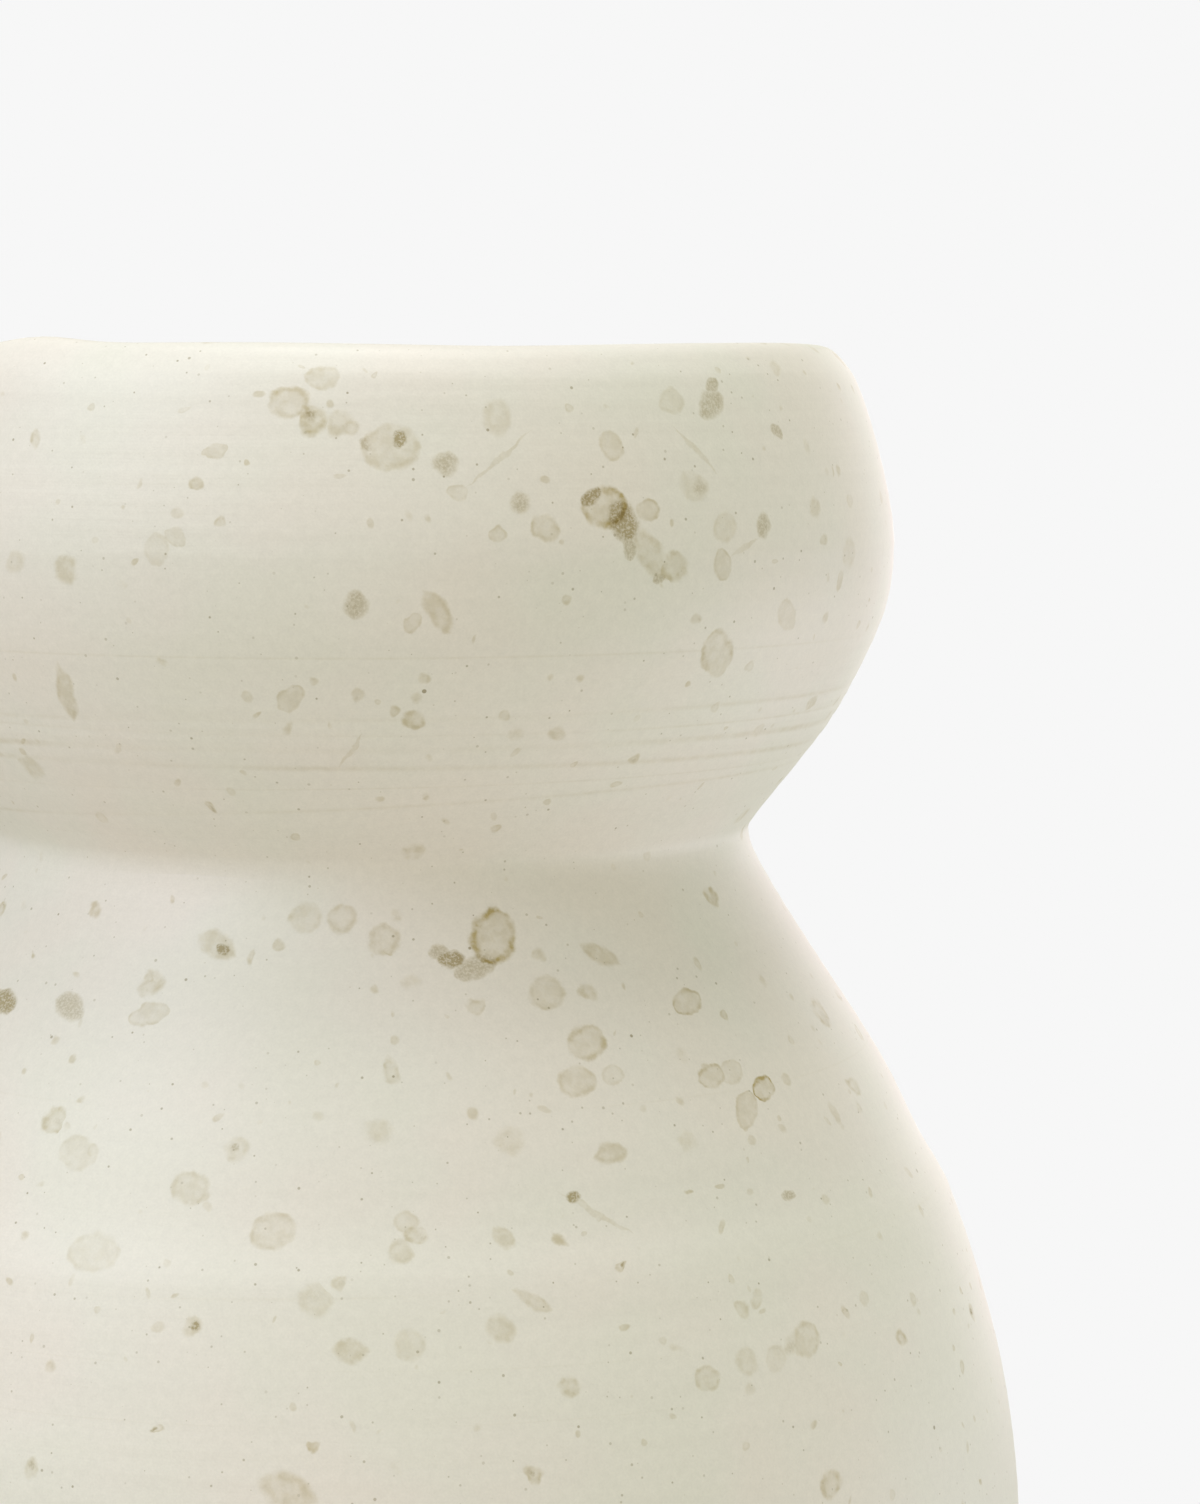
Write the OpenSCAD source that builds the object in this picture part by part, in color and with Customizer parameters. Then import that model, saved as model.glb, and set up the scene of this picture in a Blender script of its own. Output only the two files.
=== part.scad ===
// Stoneware vase, thrown in three sections that are luted together with slip,
// with a matt glaze outside and a liner glaze inside.
// Every piece is turned round the Z axis. The origin is the centre of the foot,
// on the table, and heights are measured from there.

/* [Lip] */
// Height of the vase, from the table to the top of the lip
vase_h = 280; // [274:1:300]
// Diameter of the crest of the lip
crest_d = 122.6; // [120:0.2:126]
// Radius of the roll from the crest into the mouth
lip_roll_r = 3.2; // [2.5:0.1:3.6]
// Diameter where the outside of the collar turns over into the lip
lip_edge_d = 132; // [130:0.5:136]
// Depth of that turn below the crest
lip_edge_drop = 3.5; // [3:0.1:5]
// Lean of the wall from upright at that turn
lip_edge_lean = 35; // [28:1:40]

/* [Collar] */
// Largest diameter of the bulging collar
collar_d = 144; // [140:1:150]
// Height of the collar's widest line
collar_z = 253; // [249:0.5:256]

/* [Neck] */
// Outside diameter of the pinched neck, where collar and shoulder are luted
neck_d = 104.2; // [98:0.2:110]
// Height of the neck seam
neck_z = 213.8; // [211:0.2:217]

/* [Shoulder] */
// Outside diameter of the shoulder ridge, where shoulder and belly are luted
shoulder_d = 158.8; // [154:0.2:162]
// Height of the shoulder seam
shoulder_z = 165; // [161:0.5:169]
// Lean of the wall from upright at the shoulder ridge
shoulder_lean = 26; // [22:0.5:30]

/* [Belly] */
// Largest diameter of the vase
belly_d = 180; // [174:1:186]
// Height of the belly's widest line
belly_z = 117; // [110:1:124]

/* [Foot] */
// Outside diameter of the turned foot ring
foot_d = 107; // [96:1:116]
// Width of the foot ring
foot_ring_w = 9; // [7:0.5:14]
// Height of the foot ring on the outside
foot_h = 5; // [4:0.5:8]
// Depth of the hollow turned into the underside
foot_hollow = 4; // [3:0.5:5]
// Rounding of the foot ring's two lower edges
foot_edge_r = 1.2; // [0.8:0.1:1.6]
// Lean of the wall from upright where it springs from the foot
foot_lean = 42; // [36:1:48]
// Height above the table at which the outer glaze stops
glaze_line_z = 10; // [8:1:16]

/* [Clay and glaze] */
// Thickness of the fired clay wall
wall_t = 5.5; // [4.5:0.1:6.5]
// Thickness of the clay floor, from the hollow of the foot to the inside
floor_t = 9; // [7:0.5:12]
// Diameter of the flat middle of the floor inside
floor_flat_d = 64; // [50:1:80]
// Thickness of each glaze coat
glaze_t = 0.5; // [0.4:0.1:0.6]

/* [Seams] */
// Thickness of the slip that fills a seam
slip_t = 0.6; // [0.4:0.1:1]
// Height of the tongue on a lower rim, which enters the groove above it
tongue_h = 1.6; // [1:0.1:2]
// Thickness of the clay coil pressed over a seam on the inside
coil_t = 2; // [1:0.1:2.5]
// How far a coil reaches above and below its seam
coil_reach = 8; // [6:0.5:10]

/* [Hidden] */
$fn = 144;

// Number of straight steps in each curved span of the outline
SPAN_STEPS = 14;
ARC_STEPS = 5;

CLAY = "#cdbfa6";
COIL_CLAY = "#c2b296";
SLIP = "#e0d6c2";
IVORY = "#e3ddcd";
LINER = "#d8d2bf";

// How far each anchor of the outline pulls its curve along, before and after it
BELLY_PULL = [45, 19];
SHOULDER_PULL = [8, 27.6];
NECK_PULL = [6.4, 2.9];
COLLAR_PULL = [19.6, 6.2];
LIP_EDGE_PULL = [3.6, 4];
CREST_PULL = 1.3;
FOOT_PULL = 27;
FLOOR_PULL = [34, 52];
MOUTH_PULL = [6, 9];
// Pull of a cubic that stands for a quarter of a circle, as a share of its radius
QUARTER_PULL = 0.5523;

UP = [0, 1];
OUT = [1, 0];

// Direction that leans from upright towards the axis by an angle
function leaning_in(angle) = [-sin(angle), cos(angle)];

// An anchor of the outline: its place, the direction of travel, and its pull before and after
function anchor(place, travel, before, after) =
    [place, travel, before, after];

// The four control points of the cubic between two anchors
function span(from, to) =
    [from[0], from[0] + from[3] * from[1], to[0] - to[2] * to[1], to[0]];

function cubic(p, t) =
    p[0] * (1 - t) ^ 3
    + 3 * p[1] * t * (1 - t) ^ 2
    + 3 * p[2] * t ^ 2 * (1 - t)
    + p[3] * t ^ 3;

function cubic_speed(p, t) =
    3 * (p[1] - p[0]) * (1 - t) ^ 2
    + 6 * (p[2] - p[1]) * t * (1 - t)
    + 3 * (p[3] - p[2]) * t ^ 2;

// A station is a point of the outline and the direction from it through the wall.
// Travel up the outside turns a quarter left to point through the wall.
function station(p, t) =
    let (speed = cubic_speed(p, t))
    let (travel = speed / norm(speed))
    [cubic(p, t), [-travel.y, travel.x]];

// Stations at given shares of one span
function stations(p, shares) = [for (t = shares) station(p, t)];
BETWEEN = [for (i = [1 : SPAN_STEPS - 1]) i / SPAN_STEPS];
FROM_START = concat([0], BETWEEN);

// The share at which a rising span reaches a height, found by halving the stretch it lies in
function share_at_height(p, z, low = 0, high = 1, halvings = 24) =
    let (middle = (low + high) / 2)
    halvings == 0 ? middle
    : cubic(p, middle).y < z ? share_at_height(p, z, middle, high, halvings - 1)
    : share_at_height(p, z, low, middle, halvings - 1);

// The station half a slip above (side 1) or below (side -1) a seam, square across the wall there
function beside(seam, side) =
    [seam[0] + side * slip_t / 2 * [seam[1].y, -seam[1].x], seam[1]];

// The point at a depth under a station
function under(s, depth) = s[0] + depth * s[1];
function all_under(list, depth) = [for (s = list) under(s, depth)];
function reversed(list) = [for (i = [len(list) - 1 : -1 : 0]) list[i]];

// Points on an arc round a centre, from one angle to another, both ends included
function arc(centre, r, from, to) =
    [for (i = [0 : ARC_STEPS])
        let (a = from + (to - from) * i / ARC_STEPS)
        centre + r * [cos(a), sin(a)]];

// Anchors of the glazed outside, from the foot up over the lip and into the mouth
full_wall = wall_t + 2 * glaze_t;
foot_anchor = anchor([foot_d / 2 + glaze_t, foot_h], leaning_in(-foot_lean), 0, FOOT_PULL);
belly_anchor = anchor([belly_d / 2, belly_z], UP, BELLY_PULL[0], BELLY_PULL[1]);
shoulder_anchor = anchor([shoulder_d / 2, shoulder_z], leaning_in(shoulder_lean),
                         SHOULDER_PULL[0], SHOULDER_PULL[1]);
neck_anchor = anchor([neck_d / 2, neck_z], UP, NECK_PULL[0], NECK_PULL[1]);
collar_anchor = anchor([collar_d / 2, collar_z], UP, COLLAR_PULL[0], COLLAR_PULL[1]);
lip_edge_anchor = anchor([lip_edge_d / 2, vase_h - lip_edge_drop], leaning_in(lip_edge_lean),
                         LIP_EDGE_PULL[0], LIP_EDGE_PULL[1]);
crest_anchor = anchor([crest_d / 2, vase_h], -OUT, CREST_PULL, QUARTER_PULL * lip_roll_r);
mouth_edge_anchor = anchor([crest_d / 2 - lip_roll_r, vase_h - lip_roll_r], -UP,
                           QUARTER_PULL * lip_roll_r, MOUTH_PULL[0]);
mouth_anchor = anchor([collar_d / 2 - full_wall, collar_z], -UP, MOUTH_PULL[1], 0);

foot_span = span(foot_anchor, belly_anchor);
belly_span = span(belly_anchor, shoulder_anchor);
shoulder_span = span(shoulder_anchor, neck_anchor);
neck_span = span(neck_anchor, collar_anchor);
collar_span = span(collar_anchor, lip_edge_anchor);
lip_edge_span = span(lip_edge_anchor, crest_anchor);
lip_roll_span = span(crest_anchor, mouth_edge_anchor);
mouth_span = span(mouth_edge_anchor, mouth_anchor);

// Stations of the outside, section by section. A section stops half a slip short of its seam.
shoulder_seam = station(shoulder_span, 0);
neck_seam = station(neck_span, 0);
glaze_share = share_at_height(foot_span, glaze_line_z);
bare_foot = [station(foot_span, 0)];
glazed_foot = stations(foot_span, concat([glaze_share], [for (t = BETWEEN) if (t > glaze_share) t]));
belly_to_seam = concat(stations(belly_span, FROM_START), [beside(shoulder_seam, -1)]);
seam_to_seam = concat([beside(shoulder_seam, 1)], stations(shoulder_span, BETWEEN),
                      [beside(neck_seam, -1)]);
seam_to_collar = concat([beside(neck_seam, 1)], stations(neck_span, BETWEEN));
collar_to_mouth = concat(
    stations(collar_span, FROM_START),
    stations(lip_edge_span, FROM_START),
    stations(lip_roll_span, FROM_START),
    stations(mouth_span, FROM_START),
    [station(mouth_span, 1)]
);

// The outside of the clay floor, and the inside up to the belly's widest line
floor_z = foot_hollow + floor_t;
clay_depth = glaze_t + wall_t;
floor_anchor = anchor([floor_flat_d / 2, floor_z], OUT, 0, FLOOR_PULL[0]);
inner_belly_anchor = anchor([belly_d / 2 - clay_depth, belly_z], UP, FLOOR_PULL[1], 0);
floor_span = span(floor_anchor, inner_belly_anchor);
floor_inside = concat(
    [[[0, floor_z], UP]],
    stations(floor_span, FROM_START)
);

// Outline of the underside: the turned hollow and the foot ring
foot_r = foot_d / 2;
hollow_r = foot_r - foot_ring_w;
foot_outline = concat(
    [[0, foot_hollow]],
    arc([hollow_r - foot_edge_r, foot_hollow - foot_edge_r], foot_edge_r, 90, 0),
    arc([hollow_r + foot_edge_r, foot_edge_r], foot_edge_r, 180, 270),
    arc([foot_r - foot_edge_r, foot_edge_r], foot_edge_r, 270, 360)
);

// Where the clay's inner face follows the outside, from the belly up to the collar
parallel_wall = concat(belly_to_seam, [shoulder_seam], seam_to_seam, [neck_seam], seam_to_collar);

// Depth that the coils add to the inner face at a station: a smooth swelling over each seam
function swelling(z, seam_z) =
    let (share = abs(z - seam_z) / coil_reach)
    share < 1 ? coil_t * cos(90 * share) ^ 2 : 0;
function coil_depth(s) = swelling(s[0].y, shoulder_z) + swelling(s[0].y, neck_z);

// The rim of a section at a station: a tongue, or the groove that takes it, across the wall
function rim(s) =
    let (along = [s[1].y, -s[1].x])
    [under(s, glaze_t), under(s, glaze_t + wall_t / 2) + tongue_h * along, under(s, clay_depth)];

function last(list) = list[len(list) - 1];

module turned(outline) {
    rotate_extrude() polygon(outline);
}

// The slip in a seam lies between the rims of the section below and the section above
module slip_ring(below, seam, above) {
    turned(concat(rim(below), [under(seam, clay_depth)], reversed(rim(above)),
                  [under(seam, glaze_t)]));
}

// A coil lies on the inner face of the wall and tapers out above and below its seam
module coil_ring(seam_z) {
    touched = [for (i = [0 : len(parallel_wall) - 1])
        if (abs(parallel_wall[i][0].y - seam_z) < coil_reach) i];
    first = touched[0] - 1;
    final = last(touched) + 1;
    back = [for (i = [first : final]) under(parallel_wall[i], clay_depth)];
    front = [for (i = [final - 1 : -1 : first + 1])
        under(parallel_wall[i], clay_depth + coil_depth(parallel_wall[i]))];
    turned(concat(back, front));
}

module belly_section() {
    outside = all_under(concat(bare_foot, glazed_foot, belly_to_seam), glaze_t);
    inside = concat(all_under(floor_inside, 0), all_under(belly_to_seam, clay_depth));
    top_rim = rim(last(belly_to_seam));
    color(CLAY) turned(concat(foot_outline, outside, [top_rim[1]], reversed(inside)));
}

module shoulder_section() {
    outside = all_under(seam_to_seam, glaze_t);
    inside = all_under(seam_to_seam, clay_depth);
    top_rim = rim(last(seam_to_seam));
    bottom_rim = rim(seam_to_seam[0]);
    color(CLAY) turned(concat(outside, [top_rim[1]], reversed(inside), [bottom_rim[1]]));
}

module collar_section() {
    outside = all_under(concat(seam_to_collar, collar_to_mouth), glaze_t);
    inside = all_under(seam_to_collar, clay_depth);
    bottom_rim = rim(seam_to_collar[0]);
    color(CLAY) turned(concat(outside, reversed(inside), [bottom_rim[1]]));
}

module shoulder_slip() {
    color(SLIP) slip_ring(last(belly_to_seam), shoulder_seam, seam_to_seam[0]);
}

module neck_slip() {
    color(SLIP) slip_ring(last(seam_to_seam), neck_seam, seam_to_collar[0]);
}

module shoulder_coil() {
    color(COIL_CLAY) coil_ring(shoulder_z);
}

module neck_coil() {
    color(COIL_CLAY) coil_ring(neck_z);
}

// The liner covers the floor, the wall and the coils up to the collar's widest line,
// where it meets the outer glaze
module liner_glaze() {
    clay_side = concat(
        all_under(floor_inside, 0),
        [for (s = parallel_wall) under(s, clay_depth + coil_depth(s))],
        [under(last(collar_to_mouth), glaze_t)]
    );
    open_side = concat(
        all_under(floor_inside, glaze_t),
        [for (s = parallel_wall) under(s, clay_depth + coil_depth(s) + glaze_t)],
        [under(last(collar_to_mouth), 0)]
    );
    color(LINER) turned(concat(clay_side, reversed(open_side)));
}

// The outer glaze runs from above the foot over the lip and a little way into the mouth
module outer_glaze() {
    coat = concat(glazed_foot, parallel_wall, collar_to_mouth);
    color(IVORY) turned(concat(all_under(coat, 0), reversed(all_under(coat, glaze_t))));
}

belly_section();
shoulder_section();
collar_section();
shoulder_slip();
neck_slip();
shoulder_coil();
neck_coil();
liner_glaze();
outer_glaze();
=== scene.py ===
"""The looks of a thrown stoneware vase: its glazed and bare surfaces, a plain studio and a camera."""

import math

import bmesh
import bpy
from bpy.props import FloatProperty, FloatVectorProperty, IntProperty, PointerProperty
from mathutils import Euler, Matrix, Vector, noise


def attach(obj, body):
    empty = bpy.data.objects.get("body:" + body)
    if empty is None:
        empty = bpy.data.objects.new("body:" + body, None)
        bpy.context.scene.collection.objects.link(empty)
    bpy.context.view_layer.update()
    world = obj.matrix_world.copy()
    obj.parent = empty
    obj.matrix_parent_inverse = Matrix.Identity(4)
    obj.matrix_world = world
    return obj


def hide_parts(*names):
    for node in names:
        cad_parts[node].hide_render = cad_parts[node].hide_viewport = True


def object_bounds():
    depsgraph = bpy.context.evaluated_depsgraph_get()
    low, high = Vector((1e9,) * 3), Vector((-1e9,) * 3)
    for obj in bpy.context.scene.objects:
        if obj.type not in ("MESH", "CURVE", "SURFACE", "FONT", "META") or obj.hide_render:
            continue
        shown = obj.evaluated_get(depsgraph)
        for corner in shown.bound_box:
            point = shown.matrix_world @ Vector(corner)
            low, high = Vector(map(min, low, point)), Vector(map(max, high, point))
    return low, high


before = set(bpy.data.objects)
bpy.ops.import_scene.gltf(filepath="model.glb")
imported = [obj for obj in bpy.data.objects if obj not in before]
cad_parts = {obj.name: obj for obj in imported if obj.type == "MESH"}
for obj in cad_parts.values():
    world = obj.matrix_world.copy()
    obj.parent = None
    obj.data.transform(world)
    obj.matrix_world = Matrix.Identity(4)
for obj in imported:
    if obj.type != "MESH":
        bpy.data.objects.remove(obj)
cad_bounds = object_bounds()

bl_info = {
    "name": "Thrown stoneware vase",
    "version": (1, 0, 0),
    "blender": (4, 5, 0),
    "location": "3D View > Sidebar > Vase",
    "description": "Turns the glaze coats and the foot of a stoneware vase, and lights it in a studio",
    "category": "Object",
}

MM = 0.001
FULL_TURN = 2 * math.pi
LIP_HEIGHT = cad_bounds[1].z
# Points of a mesh closer than this are one point
WELD = 1e-6
# A point this close to the line between its neighbours adds no shape
FLAT = 2e-6
# An outline that turns by more than this has a corner there
CORNER = math.radians(50)
# Relief fades out over this distance at the edge of the seen side
EDGE_FADE = 0.6 * MM


# Sizes, colours and studio settings


class VaseShape(bpy.types.PropertyGroup):
    segments: IntProperty(
        name="Segments", description="Steps round the vase", default=160, min=48, max=190)
    row_step: FloatProperty(
        name="Row spacing", description="Spacing of the rows of the mesh along the wall",
        default=0.85 * MM, unit="LENGTH", precision=5)
    fine_row_step: FloatProperty(
        name="Fine row spacing", description="Spacing of the rows where the wall has fine grooves",
        default=0.32 * MM, unit="LENGTH", precision=5)
    hidden_row_step: FloatProperty(
        name="Hidden row spacing", description="Spacing of the rows of faces that nobody sees",
        default=6 * MM, unit="LENGTH", precision=5)
    ring_pitch: FloatProperty(
        name="Throwing ring pitch", description="Rise of the potter's fingers in one turn",
        default=3.3 * MM, unit="LENGTH", precision=5)
    ring_depth: FloatProperty(
        name="Throwing ring depth", description="Depth of the rings that the fingers leave",
        default=0.02 * MM, unit="LENGTH", precision=5)
    unevenness: FloatProperty(
        name="Unevenness", description="How far the hand-made wall wanders from a true turning",
        default=0.12 * MM, unit="LENGTH", precision=5)
    lip_wave: FloatProperty(
        name="Lip wave", description="Rise and fall of the lip round the mouth",
        default=0.2 * MM, unit="LENGTH", precision=5)
    glaze_roll: FloatProperty(
        name="Glaze roll", description="Thickening of the glaze where it stops above the foot",
        default=0.3 * MM, unit="LENGTH", precision=5)


class VaseColours(bpy.types.PropertyGroup):
    ivory: FloatVectorProperty(
        name="Ivory glaze", description="Main colour of the outer glaze",
        subtype="COLOR", default=(0.735, 0.700, 0.655), min=0, max=1)
    stain: FloatVectorProperty(
        name="Stain", description="Khaki that the glaze takes where ash fell on it",
        subtype="COLOR", default=(0.54, 0.45, 0.20), min=0, max=1)
    iron: FloatVectorProperty(
        name="Iron", description="Olive brown of the dark cores and the specks",
        subtype="COLOR", default=(0.56, 0.50, 0.34), min=0, max=1)
    liner: FloatVectorProperty(
        name="Liner glaze", description="Colour of the glaze inside",
        subtype="COLOR", default=(0.70, 0.66, 0.56), min=0, max=1)
    clay: FloatVectorProperty(
        name="Bare clay", description="Colour of the fired stoneware at the foot",
        subtype="COLOR", default=(0.50, 0.40, 0.29), min=0, max=1)
    slip: FloatVectorProperty(
        name="Slip", description="Colour of the joining slip inside the seams",
        subtype="COLOR", default=(0.60, 0.52, 0.40), min=0, max=1)


class VaseStudio(bpy.types.PropertyGroup):
    camera_distance: FloatProperty(
        name="Camera distance", description="From the vase's axis to the camera, level with the lip",
        default=634.8 * MM, unit="LENGTH")
    camera_pan: FloatProperty(
        name="Camera pan", description="How far the camera turns right of the vase's axis",
        default=math.radians(2.851), subtype="ANGLE")
    camera_tilt: FloatProperty(
        name="Camera tilt", description="How far the camera looks down",
        default=math.radians(5.056), subtype="ANGLE")
    lens: FloatProperty(
        name="Lens", description="Focal length in millimetres", default=110.1)
    backdrop: FloatVectorProperty(
        name="Backdrop", description="Colour of the backdrop",
        subtype="COLOR", default=(0.93, 0.93, 0.93), min=0, max=1)
    floor: FloatVectorProperty(
        name="Floor", description="Colour of the floor, which looks like the backdrop when it's lit",
        subtype="COLOR", default=(0.80, 0.78, 0.80), min=0, max=1)
    floor_radius: FloatProperty(
        name="Floor radius", description="Radius of the round floor", default=420 * MM, unit="LENGTH")
    ambient: FloatVectorProperty(
        name="Ambient light", description="Colour of the soft light from all round",
        subtype="COLOR", default=(0.98, 1.0, 0.80), min=0, max=1)
    ambient_strength: FloatProperty(
        name="Ambient strength", description="Strength of the soft light from all round", default=0.595)
    light_distance: FloatProperty(
        name="Light distance", description="From the middle of the vase to each soft light",
        default=1300 * MM, unit="LENGTH")
    light_size: FloatProperty(
        name="Light size", description="Diameter of each round soft light",
        default=800 * MM, unit="LENGTH")


# Turning a piece from the section of a CAD node


def half_section(node_name):
    """Points (radius, height) of a CAD node's outline, cut through its axis, in order round it."""
    bm = bmesh.new()
    bm.from_mesh(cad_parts[node_name].data)
    bmesh.ops.remove_doubles(bm, verts=bm.verts, dist=WELD)
    bmesh.ops.bisect_plane(
        bm, geom=bm.verts[:] + bm.edges[:] + bm.faces[:], dist=WELD, plane_co=(0, 0, 0),
        plane_no=(0, 1, 0), clear_inner=True, clear_outer=True)
    bmesh.ops.bisect_plane(
        bm, geom=bm.verts[:] + bm.edges[:], dist=WELD, plane_co=(0, 0, 0), plane_no=(1, 0, 0),
        clear_inner=True)
    bmesh.ops.remove_doubles(bm, verts=bm.verts, dist=WELD)
    ends = [v for v in bm.verts if len(v.link_edges) == 1]
    start = min(ends or bm.verts, key=lambda v: v.co.z)
    came_from, at, points = None, start, []
    while at is not None:
        points.append((at.co.x, at.co.z))
        onward = [e.other_vert(at) for e in at.link_edges if e.other_vert(at) is not came_from]
        came_from = at
        at = onward[0] if onward and onward[0] is not start else None
    total = len(bm.verts)
    bm.free()
    if len(points) != total:
        raise RuntimeError(f"the section of {node_name} has {total} points, {len(points)} in line")
    return without_flat_points(points, closed=not ends)


def without_flat_points(points, closed):
    """Leaves out each point that lies on the line between its neighbours."""
    kept = []
    for i, point in enumerate(points):
        at_end = not closed and i in (0, len(points) - 1)
        before = Vector(points[i - 1])
        along = Vector(points[(i + 1) % len(points)]) - before
        reach = Vector(point) - before
        off_line = abs(along.x * reach.y - along.y * reach.x) / max(along.length, WELD)
        if at_end or off_line > FLAT:
            kept.append(point)
    return kept


def stretches(points, closed):
    """Splits an outline at its corners into smooth stretches."""
    count = len(points)
    inner = range(count) if closed else range(1, count - 1)
    corners = []
    for i in inner:
        here = Vector(points[i])
        arriving = here - Vector(points[i - 1])
        leaving = Vector(points[(i + 1) % count]) - here
        if arriving.angle(leaving) > CORNER:
            corners.append(i)
    if closed:
        points = points[corners[0]:] + points[:corners[0]] + [points[corners[0]]]
        corners = [i - corners[0] for i in corners] + [count]
    else:
        corners = [0] + corners + [count - 1]
    return [points[a:b + 1] for a, b in zip(corners, corners[1:])]


def rounded(stretch, finesse=12):
    """Many points on the smooth curve through a stretch's points."""
    points = [Vector(p) for p in stretch]
    if len(points) < 3:
        return points
    curve = []
    padded = [2 * points[0] - points[1]] + points + [2 * points[-1] - points[-2]]
    for before, start, end, after in zip(padded, padded[1:], padded[2:], padded[3:]):
        chord = (end - start).length
        pull_start = (end - before).normalized() * chord
        pull_end = (after - start).normalized() * chord
        for i in range(finesse):
            t = i / finesse
            curve.append(
                start * (2 * t ** 3 - 3 * t ** 2 + 1) + pull_start * (t ** 3 - 2 * t ** 2 + t)
                + end * (3 * t ** 2 - 2 * t ** 3) + pull_end * (t ** 3 - t ** 2))
    return curve + [points[-1]]


def in_steps(curve, step_at):
    """Points along a curve, spaced by step_at(height), with how far along each one lies."""
    steps, run, since = [(curve[0], 0.0)], 0.0, 0.0
    for start, end in zip(curve, curve[1:]):
        run += (end - start).length
        since += (end - start).length
        if since >= step_at(end.y):
            steps.append((end, run))
            since = 0.0
    if steps[-1][0] is not curve[-1]:
        steps.append((curve[-1], run))
    return steps


def smooth_step(low, high, value):
    share = min(max((value - low) / (high - low), 0), 1)
    return share * share * (3 - 2 * share)


def lay_section(bm, node_name, is_seen, step_at, run_of, proud_of):
    """Lays a CAD node's section as a line of points and edges, ready to spin.

    run_of is how far along the seen side each point is. proud_of is 1 on the seen side, where the
    relief is full, and falls to 0 at its edges and on the hidden sides.
    """
    hidden_step = bpy.context.scene.vase_shape.hidden_row_step
    points = half_section(node_name)
    touches_axis = min(radius for radius, _ in points) < 10 * WELD
    parts = stretches(points, closed=not touches_axis)
    seen = max(parts, key=is_seen)
    rows = []
    for part in parts:
        steps = in_steps(rounded(part), step_at if part is seen else lambda height: hidden_step)
        length = steps[-1][1]
        starts_on_axis = steps[0][0].x < WELD
        for place, run in steps[:-1]:
            row = bm.verts.new((max(place.x, 0), 0, place.y))
            if part is seen:
                row[run_of] = run
                fade_in = 1 if starts_on_axis else smooth_step(0, EDGE_FADE, run)
                row[proud_of] = fade_in * smooth_step(0, EDGE_FADE, length - run)
            rows.append(row)
    if touches_axis:
        radius, height = parts[-1][-1]
        rows.append(bm.verts.new((max(radius, 0), 0, height)))
    else:
        rows.append(rows[0])
    for lower, upper in zip(rows, rows[1:]):
        bm.edges.new((lower, upper))


def press_relief(bm, run_of, proud_of, relief, shift):
    """Moves the seen side of a spun section by its relief and shift, and keeps it off the table."""
    moves = []
    for v in bm.verts:
        if v[proud_of] > 0:
            bearing = math.atan2(v.co.x, -v.co.y)
            out = relief(v[run_of], v.co.z, bearing) * v[proud_of]
            moves.append((v, v.normal * out + Vector((0, 0, shift(v.co.z, bearing)))))
    for v, move in moves:
        v.co += move
        v.co.z = max(v.co.z, 0)


def no_shift(height, bearing):
    return 0


def turned_piece(name, node_name, is_seen, step_at, relief, shift=no_shift):
    """A smooth, closed turning of a CAD node's section, with relief on the side that is seen.

    is_seen picks the seen stretch: the one that it gives the highest score.
    relief(run, height, bearing) is how far the surface stands proud of the section.
    shift(height, bearing) is how far the surface is moved upwards.
    """
    bm = bmesh.new()
    run_of = bm.verts.layers.float.new("run")
    proud_of = bm.verts.layers.float.new("seen")
    lay_section(bm, node_name, is_seen, step_at, run_of, proud_of)
    bmesh.ops.spin(
        bm, geom=bm.verts[:] + bm.edges[:], cent=(0, 0, 0), axis=(0, 0, 1), dvec=(0, 0, 0),
        angle=FULL_TURN, steps=bpy.context.scene.vase_shape.segments, use_merge=True,
        use_duplicate=False)
    bmesh.ops.remove_doubles(bm, verts=bm.verts, dist=WELD)
    bmesh.ops.recalc_face_normals(bm, faces=bm.faces)
    bm.normal_update()
    press_relief(bm, run_of, proud_of, relief, shift)
    for face in bm.faces:
        face.smooth = True
    mesh = bpy.data.meshes.new(name)
    bm.to_mesh(mesh)
    bm.free()
    mesh.set_sharp_from_angle(angle=CORNER)
    piece = bpy.data.objects.new(name, mesh)
    bpy.context.scene.collection.objects.link(piece)
    return piece


def dress(piece, material):
    piece.data.materials.clear()
    piece.data.materials.append(material)


# Relief that the potter's hands and tools leave


# Soft swells and hollows of the thrown wall: height, rise and reach up and down, in millimetres
SWELLS = (
    (244, 0.14, 5),
    (237.5, -0.10, 4),
    (228.5, 0.14, 4),
    (211, -0.15, 3),
    (183, 0.24, 8),
    (171.5, -0.34, 5.5),
    (165.3, 0.22, 3.2),
    (140, 0.08, 7),
)

# Fine grooves round the wall: height at the front, depth and half width, in millimetres,
# then how far the groove climbs, in millimetres, and the bearing where it is highest, in degrees
GROOVES = (
    (241.6, 0.050, 0.80, 0.3, 0),
    (238.5, 0.030, 0.60, 0.5, 320),
    (233.7, 0.080, 0.75, 0.9, 60),
    (231.6, 0.065, 0.60, 0.6, 200),
    (229.7, 0.100, 0.70, 0.6, 20),
    (227.3, 0.085, 0.80, 0.5, 340),
    (224.6, 0.050, 0.60, 1.2, 50),
    (221.9, 0.065, 0.80, 3.0, 70),
    (218.0, 0.030, 0.80, 1.6, 110),
    (184.5, 0.040, 0.80, 0.6, 200),
    (164.0, 0.050, 1.00, 1.8, 90),
    (155.5, 0.035, 0.80, 0.8, 300),
    (149.0, 0.035, 0.70, 0.5, 10),
)
DEEPEST_GROOVE = max(depth for _, depth, _, _, _ in GROOVES)


def bell(offset, reach):
    return math.exp(-((offset / reach) ** 2))


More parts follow.
